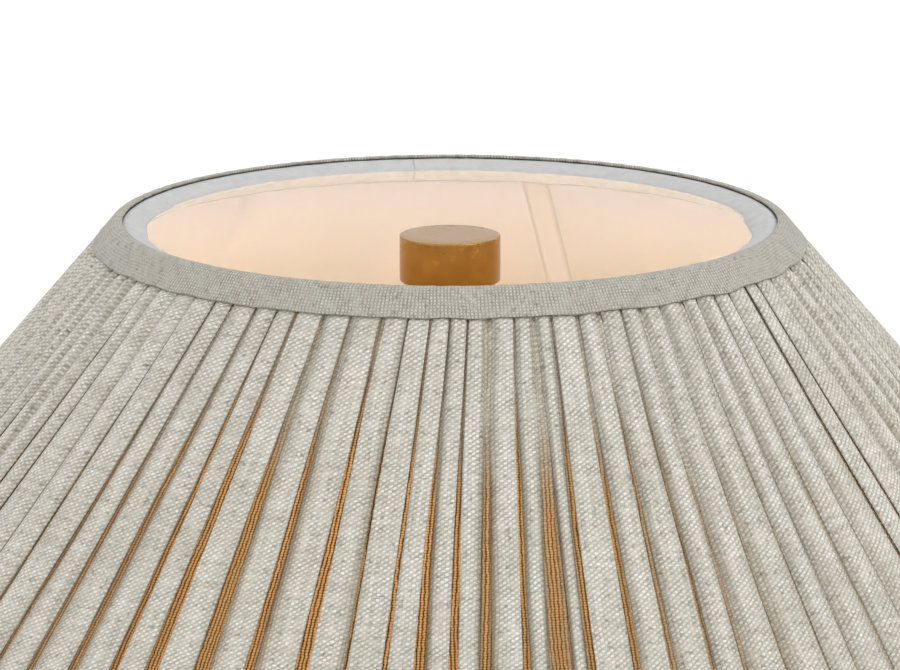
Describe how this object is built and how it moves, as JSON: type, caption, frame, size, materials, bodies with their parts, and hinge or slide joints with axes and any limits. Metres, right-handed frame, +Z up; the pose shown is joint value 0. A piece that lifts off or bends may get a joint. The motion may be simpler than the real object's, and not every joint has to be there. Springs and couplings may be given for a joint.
{
  "type": "lamp shade",
  "caption": "Wide flared lamp shade of pleated linen over a translucent liner, on two wire rings with a bar spider, held down by a cylindrical screw finial.",
  "frame": {"origin": "on the shade's axis, level with the rest face under the bottom trim", "axes": "+Z up along the shade's axis, -Y to the front, +X to the right, with the spider's arms along X"},
  "size_m": [0.5146, 0.5146, 0.1839],
  "materials": {
    "painted_steel": "satin white lacquer",
    "liner_sheet": "translucent cream, matt",
    "cotton_tape": "plain woven white tape",
    "pleated_linen": "natural plain-weave linen with slubs",
    "bias_linen": "the same linen cut on the bias",
    "antique_brass": "satin antique brass"
  },
  "bodies": {
    "shade": {"top_ring": "painted_steel", "bottom_ring": "painted_steel", "spider_hub": "painted_steel", "spider_arm_right": "painted_steel", "spider_arm_left": "painted_steel", "liner": "liner_sheet", "liner_seam_tape": "cotton_tape", "pleated_cover": "pleated_linen", "top_trim": "bias_linen", "bottom_trim": "bias_linen", "inner_top_tape": "cotton_tape", "inner_bottom_tape": "cotton_tape"},
    "finial_carrier": {"finial_washer": "antique_brass"},
    "finial": {"finial_cap": "antique_brass", "finial_insert": "antique_brass"}
  },
  "joints": [
    {"name": "finial_rise", "type": "slide", "parent": "shade", "child": "finial_carrier", "axis": [0, 0, 1], "range_m": [0, 0.0057]},
    {"name": "finial_turn", "type": "hinge", "parent": "finial_carrier", "child": "finial", "pos_m": [0, 0, 0.171], "axis": [0, 0, 1], "range_deg": [0, 2160]}
  ],
  "couplings": [
    {"joint": "finial_rise", "follows": "finial_turn", "m_per_rad": 0.00014972}
  ]
}
